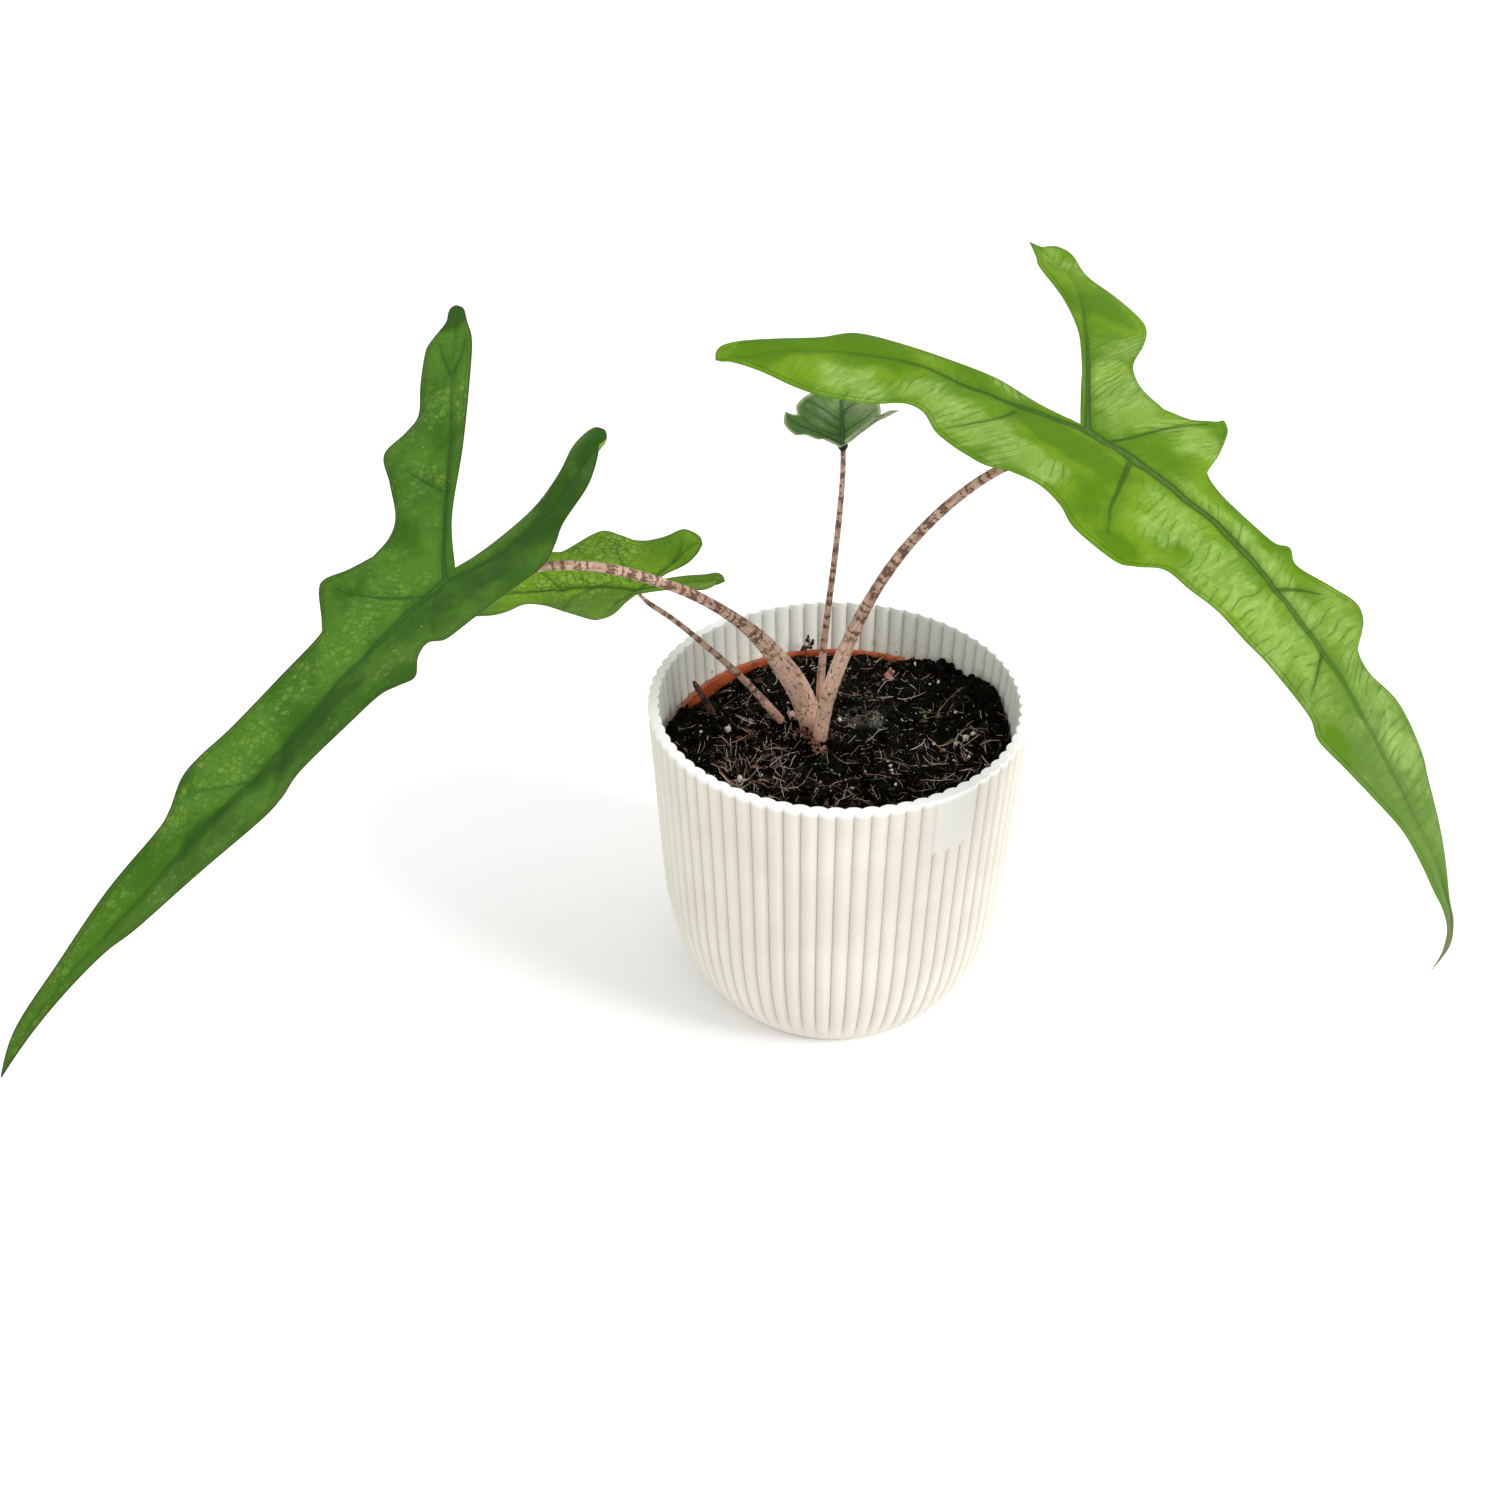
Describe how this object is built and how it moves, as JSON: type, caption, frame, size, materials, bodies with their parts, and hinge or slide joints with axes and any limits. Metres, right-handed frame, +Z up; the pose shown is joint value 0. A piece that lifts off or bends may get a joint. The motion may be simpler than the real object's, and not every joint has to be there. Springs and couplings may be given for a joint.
{
  "type": "potted sabrina alocasia",
  "caption": "Aroid house plant with lobed arrow-shaped leaves on slim banded stalks, growing in soil in a nursery pot inside a fluted cover pot that stands on its flat base.",
  "frame": {"origin": "centre of the cover pot's flat base, on the surface that it stands on", "axes": "+Z up, -Y towards the front, +X to the right seen from the front"},
  "size_m": [0.4336, 0.2614, 0.265],
  "materials": {
    "cover_pot": "off-white moulded plastic, satin",
    "nursery_pot": "terracotta-coloured thin plastic, matte",
    "soil": "loose dark potting soil with fibres and perlite",
    "corm": "rough brown corm",
    "withered_stalk": "dry and wrinkled",
    "leaf_bright": "bright green leaf, waxy",
    "leaf_dark": "dark green leaf, waxy, faintly mottled",
    "leaf_small": "yellow-green leaf, mottled",
    "leaf_young": "grey-green young leaf",
    "stalk": "pinkish tan with dark brown bands"
  },
  "bodies": {
    "root": {"cover_pot": "cover_pot", "nursery_pot": "nursery_pot", "soil": "soil", "corm_and_roots": "corm", "withered_stalk_stub": "withered_stalk", "leaf_large_right": "leaf_bright", "leaf_large_left": "leaf_dark", "leaf_small_left": "leaf_small", "leaf_young_centre": "leaf_young", "stalk_large_right": "stalk", "stalk_large_left": "stalk", "stalk_small_left": "stalk", "stalk_young_centre": "stalk"}
  },
  "joints": []
}
